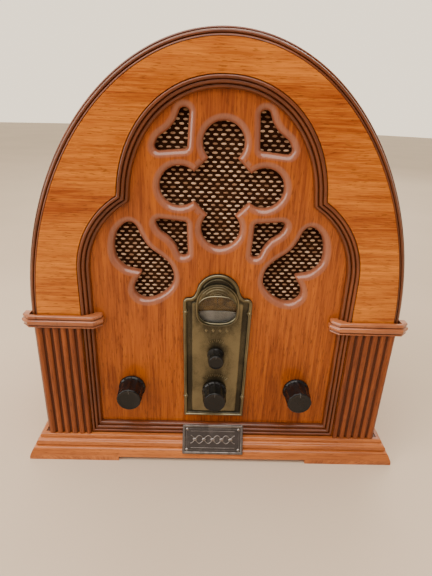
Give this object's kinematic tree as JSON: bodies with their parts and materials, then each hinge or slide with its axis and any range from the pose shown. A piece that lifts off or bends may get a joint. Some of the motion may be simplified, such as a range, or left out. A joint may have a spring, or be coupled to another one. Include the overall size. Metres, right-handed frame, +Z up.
{
  "type": "cathedral radio",
  "caption": "Arched wooden table radio with fluted pilasters, a fretted grille over dark cloth, a tall metal dial plate and turning knobs.",
  "frame": {"origin": "on the table under the middle of the radio", "axes": "+X to the listener's right, -Y out of the front, +Z up"},
  "size_m": [0.3418, 0.215, 0.361],
  "materials": {
    "orange_veneer": "satin lacquered veneer, grain across",
    "red_veneer": "satin lacquered veneer, grain upright",
    "dark_wood": "dark stained, lacquered",
    "brown_wood": "brown stained, lacquered",
    "raw_wood": "unfinished",
    "hardboard": "unfinished hardboard",
    "grille_cloth": "dark brown weave with tan flecks",
    "old_brass": "antiqued",
    "pewter": "dark pewter",
    "black_plastic": "glossy",
    "steel": "plated",
    "black_steel": "blackened",
    "aluminium": "plain",
    "ferrite": "matt",
    "paper": "pressed paper",
    "amber": "translucent printed scale",
    "clear": "clear",
    "board": "laminate",
    "copper": "varnished copper winding",
    "felt": "soft, matt"
  },
  "bodies": {
    "cabinet": {"front_frame": "orange_veneer", "front_panel": "red_veneer", "arch_moulding": "dark_wood", "inner_moulding": "dark_wood", "cabinet_shell": "brown_wood", "left_pilaster": "brown_wood", "right_pilaster": "brown_wood", "left_capital": "brown_wood", "right_capital": "brown_wood", "base_moulding": "brown_wood", "base_board": "raw_wood", "back_cleat": "raw_wood", "baffle_board": "hardboard", "back_panel": "hardboard", "grille_cloth": "grille_cloth", "dial_escutcheon": "old_brass", "nameplate": "pewter", "mains_inlet": "black_plastic", "control_bracket": "steel", "volume_control": "steel", "tone_control": "steel", "tuning_bearing": "steel", "capacitor_frame": "steel", "board_tray": "steel", "dial_mask": "steel", "lamp_holder": "steel", "speaker_basket": "black_steel", "transformer_core": "black_steel", "low_left_back_screw": "black_steel", "low_right_back_screw": "black_steel", "high_left_back_screw": "black_steel", "high_right_back_screw": "black_steel", "capacitor_stator": "aluminium", "heat_sink": "aluminium", "left_smoothing_capacitor": "aluminium", "right_smoothing_capacitor": "aluminium", "speaker_magnet": "ferrite", "dial_lens": "clear", "dial_lamp": "clear", "circuit_board": "board", "band_switch": "board", "transformer_coil": "copper", "front_left_foot": "felt", "front_right_foot": "felt", "back_left_foot": "felt", "back_right_foot": "felt", "speaker_surround": "felt", "dial_cord": "felt"},
    "volume_dial": {"volume_knob": "black_plastic", "volume_shaft": "steel"},
    "tone_dial": {"tone_knob": "black_plastic", "tone_shaft": "steel"},
    "band_dial": {"band_knob": "black_plastic", "band_shaft": "steel"},
    "tuning_dial": {"tuning_knob": "black_plastic", "tuning_shaft": "steel"},
    "dial_drive": {"dial_drum": "aluminium", "dial_face": "amber", "capacitor_rotor": "aluminium"},
    "voice_cone": {"speaker_cone": "paper"}
  },
  "joints": [
    {"name": "volume_turn", "type": "hinge", "parent": "cabinet", "child": "volume_dial", "pos_m": [-0.0757, -0.086, 0.07], "axis": [0, -1, 0], "range_deg": [0, 300]},
    {"name": "tone_turn", "type": "hinge", "parent": "cabinet", "child": "tone_dial", "pos_m": [0, -0.086, 0.1075], "axis": [0, -1, 0], "range_deg": [0, 300]},
    {"name": "band_turn", "type": "hinge", "parent": "cabinet", "child": "band_dial", "pos_m": [0.0757, -0.086, 0.07], "axis": [0, -1, 0], "range_deg": [0, 60]},
    {"name": "tuning_turn", "type": "hinge", "parent": "cabinet", "child": "tuning_dial", "pos_m": [0, -0.086, 0.069], "axis": [0, -1, 0], "range_deg": [0, 1260]},
    {"name": "dial_turn", "type": "hinge", "parent": "cabinet", "child": "dial_drive", "pos_m": [0, -0.086, 0.151], "axis": [0, -1, 0], "range_deg": [0, 180]},
    {"name": "cone_travel", "type": "slide", "parent": "cabinet", "child": "voice_cone", "axis": [0, -1, 0], "range_m": [-0.0015, 0.0015], "stiffness_N_per_m": 1500}
  ],
  "couplings": [
    {"joint": "dial_turn", "follows": "tuning_turn", "ratio": 0.14286}
  ]
}
